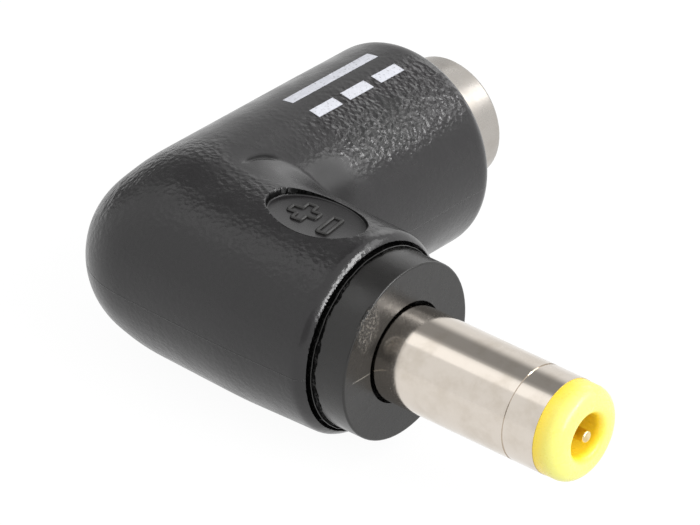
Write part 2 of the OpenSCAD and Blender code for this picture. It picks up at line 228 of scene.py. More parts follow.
from_middle = add_node(tree, "Math", {"operation": "ABSOLUTE"}, _0=toward(door_across)).outputs["Value"]
in_door = add_node(tree, "Math", {"operation": "MULTIPLY"}, _0=soft_step(toward(door_middle), *DOOR_ENDS),
                   _1=soft_step(from_middle, *DOOR_SIDES)).outputs["Value"]
cloth = darker(in_door, TENT_BRIGHTNESS, DOOR_BRIGHTNESS)
dimmed = darker(soft_step(toward(hole_middle), *HOLE_RIM), 1.0, HOLE_BRIGHTNESS)
strength = add_node(tree, "Math", {"operation": "MULTIPLY"}, _0=cloth, _1=dimmed).outputs["Value"]
set_inputs(tree, tree.nodes["Background"], Color=grey(1), Strength=strength)
print("tent", TENT_BRIGHTNESS, "door", DOOR_BRIGHTNESS, "hole", HOLE_BRIGHTNESS)

# %% [markdown]
# The lamps are flat soft boxes half a metre from the part. The key lamp draws the stripe on the barrel,
# the long strip stands in front of the tip and the collar, and the other two stand behind the part.

# %% Lamps
LAMP_DISTANCE = 0.5


def softbox(name, azimuth, elevation, size, brightness, lean=0):
    """A lamp of that width and height in metres, as bright as that many tents, tilted by degrees."""
    width, height = size
    lamp = bpy.data.lights.new(name, "AREA")
    lamp.shape = "RECTANGLE"
    lamp.size, lamp.size_y, lamp.energy = width, height, brightness * math.pi * width * height
    body = bpy.data.objects.new(name, lamp)
    scene.collection.objects.link(body)
    axes = view_axes(math.radians(azimuth), math.radians(elevation))
    body.matrix_world = stand_at(axes, LAMP_DISTANCE) @ Matrix.Rotation(math.radians(lean), 4, "Z")
    print("lamp", name, "at azimuth", azimuth, "elevation", elevation)


softbox("key", azimuth=-62, elevation=55, size=(0.19, 0.18), brightness=0.42)
softbox("back", azimuth=147, elevation=38, size=(0.2, 0.2), brightness=2.2)
softbox("low back", azimuth=-165, elevation=26, size=(0.22, 0.2), brightness=1.0)
softbox("long strip", azimuth=92, elevation=35, size=(0.62, 0.12), brightness=12, lean=30)
scene.view_settings.view_transform = "Standard"

# %% [markdown]
# ## The elbow's skin
# The housing is moulded in one shot round the two connectors. Its legs, its corner and its inner turn run
# into each other without an edge, and only the valley between the legs is sharp. The engineering solid
# joins plain balls and bars, which leaves faint creases. Here the same balls and bars are made again,
# merged into one skin of small even faces, and smoothed everywhere but at the valley, the mouth and the
# socket's end. What the housing holds is then cut out of it, with copies of the very pieces that sit in
# it.

# %% Helpers for modelling
BAR_SIDES = 128
NEAR = 0.01
DOUBLES = 0.0005


def pick(piece):
    """Leave edit mode with only this piece selected and active, or nothing at all for None."""
    if bpy.context.object and bpy.context.object.mode != "OBJECT":
        bpy.ops.object.mode_set(mode="OBJECT")
    bpy.ops.object.select_all(action="DESELECT")
    if piece:
        bpy.context.view_layer.objects.active = piece
        piece.select_set(True)


def edit(piece):
    pick(piece)
    bpy.ops.object.mode_set(mode="EDIT")
    bpy.ops.mesh.select_mode(type="VERT")


def edit_all(piece):
    edit(piece)
    bpy.ops.mesh.select_all(action="SELECT")


def choose(piece, wanted):
    """In edit mode, select the vertices whose place in millimetres is wanted."""
    mesh = bmesh.from_edit_mesh(piece.data)
    for vert in mesh.verts:
        vert.select_set(bool(wanted(*(vert.co / MM))))
    mesh.select_flush(True)
    mesh.select_flush(False)
    bmesh.update_edit_mesh(piece.data)


def leave_edit():
    bpy.ops.object.mode_set(mode="OBJECT")


def named(piece, name):
    piece.name = piece.data.name = name
    return piece


def apply_place(piece):
    pick(piece)
    bpy.ops.object.transform_apply(location=True, rotation=True, scale=True)


def along(axis):
    """The rotation that turns a primitive's Z axis along the plug (X) or the socket (Y)."""
    return (0, math.pi / 2, 0) if axis == "X" else (-math.pi / 2, 0, 0)


def add_bar(name, axis, centre, radius, start, end):
    """A closed round bar along the plug's or the socket's axis, in millimetres."""
    pick(None)
    middle = Vector(centre)
    middle["XYZ".index(axis)] = (start + end) / 2
    bpy.ops.mesh.primitive_cylinder_add(vertices=BAR_SIDES, radius=radius * MM, depth=(end - start) * MM,
                                        location=middle * MM, rotation=along(axis))
    bar = named(bpy.context.object, name)
    apply_place(bar)
    return bar


def add_ball(name, centre, radius):
    pick(None)
    bpy.ops.mesh.primitive_uv_sphere_add(segments=96, ring_count=48, radius=radius * MM,
                                         location=Vector(centre) * MM)
    ball = named(bpy.context.object, name)
    apply_place(ball)
    report(ball)
    return ball


def use_modifier(piece, kind, **settings):
    """Add a modifier with its settings, and apply it."""
    pick(piece)
    modifier = piece.modifiers.new(kind, kind)
    for name, value in settings.items():
        setattr(modifier, name, value)
    bpy.ops.object.modifier_apply(modifier=modifier.name)


def join(pieces, name):
    pick(pieces[0])
    for piece in pieces:
        piece.select_set(True)
    bpy.ops.object.join()
    return named(pieces[0], name)


def tidy_mesh(piece):
    """Merge doubled vertices and point every face outwards."""
    edit_all(piece)
    bpy.ops.mesh.remove_doubles(threshold=DOUBLES * MM)
    bpy.ops.mesh.normals_make_consistent(inside=False)
    leave_edit()


def smooth_shading(piece, angle=30):
    """Shade smooth, but leave edges sharper than that angle as edges."""
    pick(piece)
    bpy.ops.object.shade_smooth_by_angle(angle=math.radians(angle))


def report(piece):
    print(piece.name, len(piece.data.vertices), "points,", len(piece.data.polygons), "faces")


# %% [markdown]
# The plug leg is a round bar that is widest near its middle. Its two ends are scaled down from that
# width, and the mouth's edge is rounded.

# %% The plug leg
ELBOW_R, MOUTH_R = PLUG_R - 0.18, PLUG_R - 0.12
WIDEST_X, MOUTH_ROUND = -8.0, 0.75
plug_leg = add_bar("plug_leg", "X", (0, 0, 0), PLUG_R, AXIS_X, MOUTH_X)
edit_all(plug_leg)
bpy.ops.mesh.bisect(plane_co=(WIDEST_X * MM, 0, 0), plane_no=(1, 0, 0))
for end_x, end_r in ((AXIS_X, ELBOW_R), (MOUTH_X, MOUTH_R)):
    choose(plug_leg, lambda x, y, z: abs(x - end_x) < NEAR)
    bpy.ops.transform.resize(value=(1, end_r / PLUG_R, end_r / PLUG_R), center_override=(end_x * MM, 0, 0))
choose(plug_leg, lambda x, y, z: x > MOUTH_X - NEAR)
bpy.ops.mesh.bevel(offset=MOUTH_ROUND * MM, segments=8, profile=0.4, affect="EDGES")
leave_edit()
report(plug_leg)

# %% [markdown]
# The socket leg is a straight bar with a rounded end. At the elbow a ball closes each leg, and a third
# ball fills the outer corner between them.

# %% The socket leg and the balls of the corner
DOME_Y, SOCKET_ROUND = 0.5, 1.0
CORNER_BACK, CORNER_OFFSET, CORNER_R = 1.06, 0.55, 5.18
socket_leg = add_bar("socket_leg", "Y", (AXIS_X, 0, 0), SOCKET_R, DOME_Y, SOCKET_END)
edit(socket_leg)
choose(socket_leg, lambda x, y, z: y > SOCKET_END - NEAR)
bpy.ops.mesh.bevel(offset=SOCKET_ROUND * MM, segments=10, profile=0.5, affect="EDGES")
leave_edit()
report(socket_leg)
balls = [add_ball("dome", (AXIS_X, DOME_Y, 0), SOCKET_R), add_ball("plug_ball", (AXIS_X, 0, 0), ELBOW_R),
         add_ball("corner_ball", (AXIS_X - CORNER_BACK, -CORNER_OFFSET, 0), CORNER_R)]

# %% [markdown]
# The inner turn carries the plug leg's round section through a quarter turn to the socket leg. The
# section is a little wider than the turn, so what reaches past the turn's centre is cut off before it is
# spun.

# %% The inner turn
TURN_R, TUBE_R, TURN_STEPS = 5.2, 5.88, 48
pick(None)
bpy.ops.mesh.primitive_circle_add(vertices=BAR_SIDES, radius=TUBE_R * MM, fill_type="NGON",
                                  location=((AXIS_X + TURN_R) * MM, 0, 0), rotation=along("X"))
inner_turn = named(bpy.context.object, "inner_turn")
apply_place(inner_turn)
edit_all(inner_turn)
bpy.ops.mesh.bisect(plane_co=(0, TURN_R * MM, 0), plane_no=(0, 1, 0), clear_outer=True)
bpy.ops.mesh.select_all(action="SELECT")
bpy.ops.mesh.spin(steps=TURN_STEPS, angle=math.pi / 2, center=((AXIS_X + TURN_R) * MM, TURN_R * MM, 0),
                  axis=(0, 0, 1))
tidy_mesh(inner_turn)
report(inner_turn)

# %% [markdown]
# The solids are joined and remeshed into one skin. How much of the smoothing each point takes is written
# into a vertex group: none at the valley, the mouth and the socket's end, and all of it elsewhere.

# %% Merge them into one skin
SKIN_FACE = 0.15
skin = join([plug_leg, socket_leg, *balls, inner_turn], "elbow")
use_modifier(skin, "REMESH", mode="VOXEL", voxel_size=SKIN_FACE * MM)
report(skin)

# %% Smooth the skin
MOUTH_FADE, SOCKET_END_FADE, VALLEY_FADE = (-4.5, -7), (15, 12), (0.1, 1)
CORNER_FADE_X, CORNER_FADE_Y, VALLEY_FRONT = (-13.6, -12.6), (0.9, 1.6), -7
SMOOTH_STEPS, LAST_STEPS, SMOOTHING, REGAINED = 160, 2, 0.5, 0.04


def ramp(value, start, end):
    """0 at start and 1 at end, with an even slope between."""
    return min(max((value - start) / (end - start), 0), 1)


def softness(x, y, z):
    """How much of the smoothing a point takes, from 0 to 1."""
    off_mouth = ramp(x, *MOUTH_FADE)
    off_socket_end = ramp(y, *SOCKET_END_FADE)
    to_socket = abs(math.hypot(x - AXIS_X, z) - SOCKET_R)
    to_turn = abs(math.hypot(math.hypot(x - AXIS_X - TURN_R, y - TURN_R) - TURN_R, z) - TUBE_R)
    inside_corner = ramp(x, *CORNER_FADE_X) * ramp(y, *CORNER_FADE_Y)
    off_valley = ramp(max(to_socket, to_turn), *VALLEY_FADE) if x < VALLEY_FRONT else 1
    return off_mouth * off_socket_end * (1 - inside_corner * (1 - off_valley))


group = skin.vertex_groups.new(name="soft")
for vert in skin.data.vertices:
    group.add([vert.index], softness(*(vert.co / MM)), "REPLACE")
use_modifier(skin, "DISPLACE", direction="NORMAL", mid_level=0, strength=REGAINED * MM, vertex_group="soft")
use_modifier(skin, "SMOOTH", factor=SMOOTHING, iterations=SMOOTH_STEPS, vertex_group="soft")
use_modifier(skin, "SMOOTH", factor=SMOOTHING, iterations=LAST_STEPS)
print("skin after smoothing:", [[round(corner(v.co[i] for v in skin.data.vertices) / MM, 2) for i in range(3)]
                                for corner in (min, max)])

# %% [markdown]
# The pieces that the housing holds are cut out of it, and so is the gap round the collar at its mouth.
# The inner mould is hollow, so cutting with it leaves a loose solid inside. Everything that isn't joined
# to the outermost strip at the back of the elbow is therefore thrown away.

# %% Cut out what the housing holds
MOUTH_GAP, GAP_DEPTH = 0.32, 1.0


def copy_of(node):
    """A merged copy of a node of the engineering model, to cut with."""
    pick(None)
    twin = frame["nodes"][node].copy()
    twin.data = twin.data.copy()
    twin.parent = None
    twin.matrix_world = Matrix.Identity(4)
    for key in [key for key in twin.keys() if key.startswith("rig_")]:
        del twin[key]
    scene.collection.objects.link(twin)
    tidy_mesh(twin)
    return twin


def cut(piece, tool):
    use_modifier(piece, "BOOLEAN", operation="DIFFERENCE", solver="EXACT", object=tool)
    bpy.data.objects.remove(tool, do_unlink=True)
    report(piece)


for node in ("inner_mould", "collar", "socket_shell"):
    cut(skin, copy_of(node))
cut(skin, add_bar("mouth_tool", "X", (0, 0, 0), COLLAR_R + MOUTH_GAP, MOUTH_X - GAP_DEPTH, 1))

# %% Throw away what the cuts left inside
BACK_STRIP = 0.2
edit(skin)
choose(skin, lambda x, y, z: x < AXIS_X - SOCKET_R + BACK_STRIP)
bpy.ops.mesh.select_linked()
bpy.ops.mesh.select_all(action="INVERT")
bpy.ops.mesh.delete(type="VERT")
leave_edit()
report(skin)

# %% [markdown]
# The small oval on top of the plug leg is a sunk plate where the moulder sets a code. Its floor is flat
# and shiny, and its low wall leans outwards, so that it lets go of the mould. An oval bar with a wider
# top cuts it out.

# %% The oval plate
OVAL_X, OVAL_Y, OVAL_FLOOR, OVAL_LENGTH, OVAL_WIDTH = -6.58, 0.2, 5.37, 6.3, 4.2
WALL_HEIGHT, WALL_LEAN, FLOOR_ROUND, ABOVE_WALL = 0.56, 0.1, 0.08, 1.0
pick(None)
bpy.ops.mesh.primitive_cylinder_add(vertices=96, radius=OVAL_WIDTH / 2 * MM, depth=WALL_HEIGHT * MM,
                                    location=(OVAL_X * MM, OVAL_Y * MM, (OVAL_FLOOR + WALL_HEIGHT / 2) * MM))
oval_tool = bpy.context.object
oval_tool.scale = (OVAL_LENGTH / OVAL_WIDTH, 1, 1)
apply_place(oval_tool)
edit(oval_tool)
choose(oval_tool, lambda x, y, z: z < OVAL_FLOOR + NEAR)
narrower = [1 - 2 * WALL_LEAN / size for size in (OVAL_LENGTH, OVAL_WIDTH)]
bpy.ops.transform.resize(value=(*narrower, 1), center_override=(OVAL_X * MM, OVAL_Y * MM, OVAL_FLOOR * MM))
bpy.ops.mesh.bevel(offset=FLOOR_ROUND * MM, segments=3, affect="EDGES")
choose(oval_tool, lambda x, y, z: z > OVAL_FLOOR + WALL_HEIGHT - NEAR)
bpy.ops.mesh.extrude_region_move(TRANSFORM_OT_translate={"value": (0, 0, ABOVE_WALL * MM)})
leave_edit()
cut(skin, oval_tool)
smooth_shading(skin)
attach(skin, "root")
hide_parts("housing")

# %% [markdown]
# The moulder's own code is left off. In its place stand a plus and a minus, the signs for the two
# contacts, drawn as such codes are: a thin raised line round each sign. A flat ring of corners is moved
# to the sign's outline, turned into a curve with a round section, and made a mesh again.

# %% Raised signs on the oval plate
SIGN_LINE, SIGN_CORNER, SIGN_TURN = 0.13, 0.1, 8


def raised_outline(name, corners, centre):
    """A round line along the outline, half sunk in the floor of the oval."""
    pick(None)
    bpy.ops.mesh.primitive_circle_add(vertices=len(corners), radius=MM)
    sign = bpy.context.object
    sign.name = name
    turned = Matrix.Rotation(math.radians(SIGN_TURN), 2)
    for vert, corner in zip(sign.data.vertices, corners):
        vert.co = (*(Vector(centre) + turned @ Vector(corner)) * MM, OVAL_FLOOR * MM)
    edit_all(sign)
    bpy.ops.mesh.bevel(offset=SIGN_CORNER * MM, segments=3, affect="VERTICES")
    leave_edit()
    bpy.ops.object.convert(target="CURVE")
    sign.data.bevel_depth, sign.data.bevel_resolution = SIGN_LINE * MM, 3
    bpy.ops.object.convert(target="MESH")
    tidy_mesh(sign)
    apply_place(sign)
    smooth_shading(sign)
    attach(sign, "root")
    report(sign)


ARM, HALF = 0.86, 0.29
plus_corners = [(HALF, HALF), (HALF, ARM), (-HALF, ARM), (-HALF, HALF), (-ARM, HALF), (-ARM, -HALF),
                (-HALF, -HALF), (-HALF, -ARM), (HALF, -ARM), (HALF, -HALF), (ARM, -HALF), (ARM, HALF)]
minus_corners = [(HALF, ARM), (-HALF, ARM), (-HALF, -ARM), (HALF, -ARM)]
raised_outline("plus_sign", plus_corners, centre=(-7.5, 0.3))
raised_outline("minus_sign", minus_corners, centre=(-5.6, 0.12))

# %% [markdown]
# A sheet thinner than a hair, dull and black with a ragged edge, lies on the collar in front of the groove
# at the mouth as painted shade of the groove's shadow, and a thin bright line of flash stands in the groove
# behind it. Both are made round, and their points are then moved a little so that they waver.

# %% Helpers for the flash and the sheet of painted shade
WAVES = (0.035, 5, 1), (0.02, 17, 0), (0.012, 41, 2)


def waver(around):
    """A sum of waves round the collar, each with its height in millimetres, its count and its start."""
    return sum(height * math.sin(count * around + start) for height, count, start in WAVES)


def around_axis(vert):
    return math.atan2(vert.co.z, vert.co.y)


def finish_groove_piece(piece):
    tidy_mesh(piece)
    smooth_shading(piece, 40)
    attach(piece, "root")
    report(piece)


# %% The flash at the groove
FLASH_R, FLASH_X, FLASH_LINE, FLASH_SWING = COLLAR_R + 0.1, MOUTH_X + 0.01, 0.03, 0.6
pick(None)
bpy.ops.mesh.primitive_torus_add(major_segments=288, minor_segments=8, major_radius=FLASH_R * MM,
                                 minor_radius=FLASH_LINE * MM, location=(FLASH_X * MM, 0, 0),
                                 rotation=along("X"))
flash = bpy.context.object
flash.name = "groove_flash"
apply_place(flash)
for vert in flash.data.vertices:
    shift = waver(around_axis(vert))
    wider = 1 + FLASH_SWING * shift / FLASH_R
    vert.co = (vert.co.x + shift * MM, vert.co.y * wider, vert.co.z * wider)
finish_groove_piece(flash)

# %% A dark sheet on the collar, as painted shade of the groove
# The sheet is painted shade: a dark film laid on the collar where the groove at the mouth is in shadow.
SHEET_BACK, SHEET_FRONT, SHEET_THICK = -2.9, -2.12, 0.03
SHEET_REACH, RAGGED = 0.26, 1.6
pick(None)
sheet_middle = (SHEET_FRONT + SHEET_BACK) / 2 * MM
bpy.ops.mesh.primitive_cylinder_add(vertices=360, radius=(COLLAR_R + SHEET_THICK) * MM,
                                    depth=(SHEET_FRONT - SHEET_BACK) * MM, end_fill_type="NOTHING",
                                    location=(sheet_middle, 0, 0), rotation=along("X"))
shade_sheet = bpy.context.object
shade_sheet.name = "groove_shade_sheet"
apply_place(shade_sheet)
for vert in shade_sheet.data.vertices:
    around = around_axis(vert)
    if vert.co.x > sheet_middle:
        low_side = 0.5 - 0.5 * math.sin(around + 0.6)
        vert.co.x += (SHEET_REACH * low_side + RAGGED * waver(2 * around + 0.7)) * MM
use_modifier(shade_sheet, "SOLIDIFY", thickness=SHEET_THICK * MM, offset=-1)
finish_groove_piece(shade_sheet)

# %% [markdown]
# The socket leg carries a white print. Here it is the common sign for direct current, a long bar over
# three dashes. Ink is a film on the skin, so each bar is a flat sheet of small faces laid over the leg,
# pressed onto it by a Shrinkwrap, and given a film's thickness.

# %% The printed sign for direct current
PRINT_FROM, PRINT_TO, PRINT_SIDE = 7.9, 15.1, 9
DASH, STROKE, INK_FILM = 1.96, 0.85, 0.02
SHEET_R = 7


def printed_bar(from_y, to_y, side_angle):
    """A bar of ink along the leg, at that many degrees from its top."""
    pick(None)
    side = math.radians(side_angle)
    spot = Vector((AXIS_X + SHEET_R * math.sin(side), (from_y + to_y) / 2, SHEET_R * math.cos(side)))
    bpy.ops.mesh.primitive_grid_add(x_subdivisions=12, y_subdivisions=60, size=MM, location=spot * MM,
                                    rotation=(0, side, 0))
    bar = bpy.context.object
    bar.scale = (STROKE, to_y - from_y, 1)
    apply_place(bar)
    use_modifier(bar, "SHRINKWRAP", target=skin, wrap_method="NEAREST_SURFACEPOINT", offset=INK_FILM * MM)
    use_modifier(bar, "SOLIDIFY", thickness=2 * INK_FILM * MM, offset=-1)
    return bar


dash_step = (PRINT_TO - PRINT_FROM - DASH) / 2
dash_starts = [PRINT_FROM + count * dash_step for count in range(3)]
bars = [printed_bar(PRINT_FROM, PRINT_TO, -PRINT_SIDE)]
bars += [printed_bar(start, start + DASH, PRINT_SIDE) for start in dash_starts]
ink_print = join(bars, "current_sign")
tidy_mesh(ink_print)
smooth_shading(ink_print)
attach(ink_print, "root")
report(ink_print)

# %% [markdown]
# ## Finishes
# Each finish is built from noise in the pieces' own coordinates, measured in millimetres. A noise with a
# scale of 3 has about three bumps in a millimetre. A zone is a soft egg, given by its middle, its three
# radii and, where it isn't the usual one, the softness of its edge.

# %% Helpers for patterns


def millimetres(tree, scale=(1, 1, 1), turned=(0, 0, 0)):
    """Object coordinates in millimetres, which a Mapping node may stretch and turn."""
    place = add_node(tree, "TexCoord").outputs["Object"]
    mapped = add_node(tree, "Mapping", Vector=place, Scale=[s / MM for s in scale], Rotation=turned)
    return mapped.outputs["Vector"]


def split(tree, place):
    """The three coordinates of a place."""
    parts = add_node(tree, "SeparateXYZ", Vector=place)
    return [parts.outputs[axis] for axis in "XYZ"]


def math_node(tree, operation, first, second=0.0, third=0.0):
    return add_node(tree, "Math", {"operation": operation}, _0=first, _1=second, _2=third).outputs["Value"]


def times(tree, first, second):
    return math_node(tree, "MULTIPLY", first, second)


def higher(tree, first, second):
    return math_node(tree, "MAXIMUM", first, second)


def minus(tree, first, second):
    return math_node(tree, "SUBTRACT", first, second)


def distance(tree, value, other):
    return math_node(tree, "ABSOLUTE", minus(tree, value, other))


def times_plus(tree, value, factor, base):
    """The value times the factor, added to the base."""
    return math_node(tree, "MULTIPLY_ADD", value, factor, base)


def spread(tree, value, from_low, from_high, to_low=0.0, to_high=1.0):
    """Map a value's range smoothly onto another."""
    return add_node(tree, "MapRange", {"interpolation_type": "SMOOTHSTEP"}, Value=value, From_Min=from_low,
                    From_Max=from_high, To_Min=to_low, To_Max=to_high).outputs["Result"]


def within(tree, zone, outside, inside):
    """One value outside a zone and another inside it."""
    return spread(tree, zone, 0.0, 1.0, outside, inside)


def length_node(tree, first, second):
    """The length of the side opposite a right angle between two others."""
    return math_node(tree, "SQRT", times_plus(tree, first, first, times(tree, second, second)))


def egg(tree, place, middle, radii, edge=0.25):
    """1 inside an egg of those radii in millimetres, and 0 outside."""
    off = add_node(tree, "VectorMath", {"operation": "SUBTRACT"}, _0=place, _1=middle)
    shrunk = add_node(tree, "VectorMath", {"operation": "DIVIDE"}, _0=off.outputs["Vector"], _1=radii)
    far = add_node(tree, "VectorMath", {"operation": "LENGTH"}, _0=shrunk.outputs["Vector"])
    return spread(tree, far.outputs["Value"], 1 + edge, 1 - edge)


def noise(tree, place, scale, detail=2.0, rough=0.5):
    made = add_node(tree, "TexNoise", Vector=place, Scale=scale, Detail=detail, Roughness=rough)
    return made.outputs["Fac"]


def cloudy(tree, place, scale, low, high):
    """A value that drifts between two others over the surface."""
    return spread(tree, noise(tree, place, scale, 3.0), 0.3, 0.7, low, high)


def blend_colour(tree, amount, first, second):
    mixed = add_node(tree, "Mix", {"data_type": "RGBA"}, Factor=amount)
    for socket, colour in zip(mixed.inputs[6:8], (first, second)):
        if isinstance(colour, bpy.types.NodeSocket):
            tree.links.new(colour, socket)
        else:
            socket.default_value = (*colour, 1)
    return mixed.outputs[2]


def add_bump(tree, shader, height, depth):
    """Raise the surface by that many millimetres where the height is 1."""
    bump = add_node(tree, "Bump", Height=height, Strength=1.0, Distance=depth * MM)
    set_inputs(tree, shader, Normal=bump.outputs["Normal"])


def put_on(material, *names):
    for name in names:
        mesh = (bpy.data.objects.get(name) or frame["nodes"][name]).data
        mesh.materials.clear()
        mesh.materials.append(material)
    print(material.name, "on", ", ".join(names))


# %% [markdown]
# The housing's plastic has the fine pebbled grain of a spark-eroded mould. Each pebble is about a third of a
# millimetre across, so that it shows as short glints where the light rakes it, and hardly at all elsewhere.
# A coarse cell pattern gives the pebbles, and a finer noise breaks their tops up. The grain is shallow along
# the socket leg and down the front flank, deep in the zone of the socket leg that glints, and missing on the
# oval plate, on the web between the legs and on a half-moon beside it.

# %% Black moulded plastic: the grain, and how deep it is at each place
PEBBLES, PEBBLE_BLUR, FINE_GRAIN, FINE_SHARE = 3.2, 0.35, 6.5, 0.45
WANDER, WANDER_SCALE = 0.35, 1.5
GLINT_ZONE = (-11.2, 12.2, 5.1), (2.7, 6.6, 2.2), 0.5
WEB_ZONE = (-12.0, 1.9, 5.8), (2.2, 1.2, 0.9)
MOON_ZONE = (-9.8, 5.3, 4.0), (1.7, 1.7, 1.6), 0.5
PLATE_ZONE = (OVAL_X, OVAL_Y, OVAL_FLOOR), (3.2, 2.15, 0.12), 0.02
RIM_FROM, RIM_TO = -3.3, -2.9
black_plastic, tree, shader = new_material("grained black plastic")
place = millimetres(tree)
drift = add_node(tree, "TexNoise", Vector=place, Scale=WANDER_SCALE, Detail=2.0).outputs["Color"]
bent = add_node(tree, "VectorMath", {"operation": "MULTIPLY_ADD"}, _0=drift, _1=(WANDER,) * 3, _2=place)
pebbles = add_node(tree, "TexVoronoi", {"feature": "SMOOTH_F1"}, Vector=bent.outputs["Vector"], Scale=PEBBLES,
                   Smoothness=PEBBLE_BLUR).outputs["Distance"]
grain = times_plus(tree, noise(tree, place, FINE_GRAIN, 2.0, 0.6), FINE_SHARE, pebbles)
across, along_socket, above = split(tree, place)
glint, web, moon, plate = (egg(tree, place, *zone) for zone in (GLINT_ZONE, WEB_ZONE, MOON_ZONE, PLATE_ZONE))
bare = higher(tree, higher(tree, plate, moon), web)
rim = spread(tree, across, RIM_FROM, RIM_TO)
socket_leg_wear = spread(tree, along_socket, 0.6, 3.0, 1.0, 0.2)
flank_wear = spread(tree, along_socket, -5.4, -3.6, 0.3, 1.0)
depth = spread(tree, noise(tree, place, 0.35), 0.35, 0.65, 0.6, 1.15)
for factor in (socket_leg_wear, flank_wear, minus(tree, 1.0, bare), within(tree, rim, 1.0, 0.35),
               within(tree, glint, 1.0, 10.0)):
    depth = times(tree, depth, factor)
grain = times(tree, grain, depth)
print("grain of", PEBBLES, "pebbles a millimetre")

# %% [markdown]
# A fine seam runs round the elbow at its parting line, and a crease follows the bottom of the valley,
# where the skin of the socket leg meets the skin of the inner turn. Both join the grain in one height.
# The crease and the wall round the oval plate are duller than the rest and carry painted shade, and the
# half-moon is duller and painted darker too.

# %% Black moulded plastic: the seam, the crease of the valley, painted shade and the shine
SEAM_Z, SEAM_HEIGHT = -0.35, 0.9
CREASE_ZONE, CREASE_HEIGHT = ((-12.6, 2.2, 5.8), (1.6, 1.1, 0.7), 0.4), -1.6
WALL_ZONE, WALL_FOOT = ((OVAL_X, OVAL_Y, 0), (3.13, 2.08, 100), 0.01), (OVAL_FLOOR + 0.03, OVAL_FLOOR + 0.08)
GRAIN_DEPTH = 0.036
SHADED, DEEP_BLACK, PALE_BLACK = (0.001, 0.001, 0.001), (0.0095, 0.009, 0.0095), (0.016, 0.0152, 0.016)
seam = spread(tree, distance(tree, above, SEAM_Z), 0.05, 0.015)
grain = times_plus(tree, seam, SEAM_HEIGHT, grain)
from_axis = length_node(tree, minus(tree, across, AXIS_X), above)
from_turn = length_node(tree, minus(tree, across, AXIS_X + TURN_R), minus(tree, along_socket, TURN_R))
from_tube = length_node(tree, minus(tree, from_turn, TURN_R), above)
off_crease = higher(tree, distance(tree, from_axis, SOCKET_R), distance(tree, from_tube, TUBE_R))
crease = times(tree, spread(tree, off_crease, 0.06, 0.01), egg(tree, place, *CREASE_ZONE))
grain = times_plus(tree, crease, CREASE_HEIGHT, grain)
add_bump(tree, shader, grain, GRAIN_DEPTH)
# Painted shade on the oval's wall and in the crease, and a darker half-moon, all going towards SHADED.
shaded_wall = times(tree, egg(tree, place, *WALL_ZONE), spread(tree, above, *WALL_FOOT))
dark = higher(tree, higher(tree, shaded_wall, times(tree, crease, 0.7)), times(tree, moon, 0.42))
polish = times(tree, within(tree, rim, 1.0, 0.7), within(tree, glint, 1.0, 0.5))
speckle = blend_colour(tree, noise(tree, place, 5.0), DEEP_BLACK, PALE_BLACK)
# The base colour goes to SHADED where dark marks the painted shade and the darker half-moon.
set_inputs(tree, shader, Base_Color=blend_colour(tree, dark, speckle, SHADED),
           Roughness=times(tree, cloudy(tree, place, 0.8, 0.22, 0.3), polish),
           Specular_IOR_Level=within(tree, dark, 0.5, 0.08))
put_on(black_plastic, "elbow")

# %% [markdown]
# The sheet on the collar is painted shade of the groove: nearly black, rough and matt in most places, and
# a little lighter and shinier in blotches.

# %% Painted groove shade on the sheet
SHEET_DEEP_SHADE, SHEET_PALER = (0.001, 0.001, 0.001), (0.012, 0.011, 0.011)
groove_shade_paint, tree, shader = new_material("painted groove shade")
place = millimetres(tree)
sheet_blotches = noise(tree, place, 6.0, 3.0, 0.7)
# Painted shade: the sheet is nearly black, with lighter, shinier blotches.
sheet_colour = blend_colour(tree, spread(tree, sheet_blotches, 0.55, 0.7), SHEET_DEEP_SHADE, SHEET_PALER)
set_inputs(tree, shader, Base_Color=sheet_colour, Roughness=spread(tree, sheet_blotches, 0.4, 0.7, 0.6, 0.25),
           Specular_IOR_Level=spread(tree, sheet_blotches, 0.5, 0.68, 0.05, 0.4))
add_bump(tree, shader, sheet_blotches, 0.05)
put_on(groove_shade_paint, "groove_shade_sheet")

# %% [markdown]
# The white ink is thin. It is a cloudy pale grey over the black, with pits where the grain shows through.

# %% White ink
PIT_GREY, THIN_INK, FULL_INK = (0.2, 0.2, 0.21), (0.42, 0.43, 0.465), (0.6, 0.61, 0.66)
ink, tree, shader = new_material("white ink")
place = millimetres(tree)
inked = spread(tree, noise(tree, place, 7.0, 3.0, 0.7), 0.33, 0.42)
film = blend_colour(tree, noise(tree, place, 2.5, 4.0), THIN_INK, FULL_INK)
set_inputs(tree, shader, Base_Color=blend_colour(tree, inked, PIT_GREY, film), Roughness=0.65)
add_bump(tree, shader, noise(tree, place, 5.0), 0.02)
put_on(ink, "current_sign")

# %% [markdown]
# The collar is a harder, smoother black plastic. It keeps two marks of its moulding on the front: a dull
# patch with coarse grain where it was gated, and a fine weld line below it, where two streams of plastic
# met.

# %% Smooth black plastic
GATE_ZONE = (0.15, -3.3, 3.0), (0.35, 0.9, 1.5)
WELD_ZONE = (0, -3.5, -0.04), (0.3, 0.85, 0.045)
SMOOTH_DARK, SMOOTH_LIGHT, WORN_GREY = (0.008, 0.0075, 0.007), (0.013, 0.0125, 0.012), (0.13, 0.12, 0.105)
GATE_HEIGHT, SWELL_HEIGHT, WELD_HEIGHT, COLLAR_DEPTH = 1.6, 0.12, 0.5, 0.09
collar_plastic, tree, shader = new_material("smooth black plastic")
place = millimetres(tree)
gate, weld = egg(tree, place, *GATE_ZONE), egg(tree, place, *WELD_ZONE)
coarse = noise(tree, place, 5.5, 2.0, 0.7)
relief = times(tree, coarse, times(tree, gate, GATE_HEIGHT))
relief = times_plus(tree, noise(tree, place, 1.6, 3.0), SWELL_HEIGHT, relief)
relief = times_plus(tree, weld, WELD_HEIGHT, relief)
add_bump(tree, shader, relief, COLLAR_DEPTH)
worn = higher(tree, times(tree, gate, spread(tree, coarse, 0.5, 0.62)), weld)
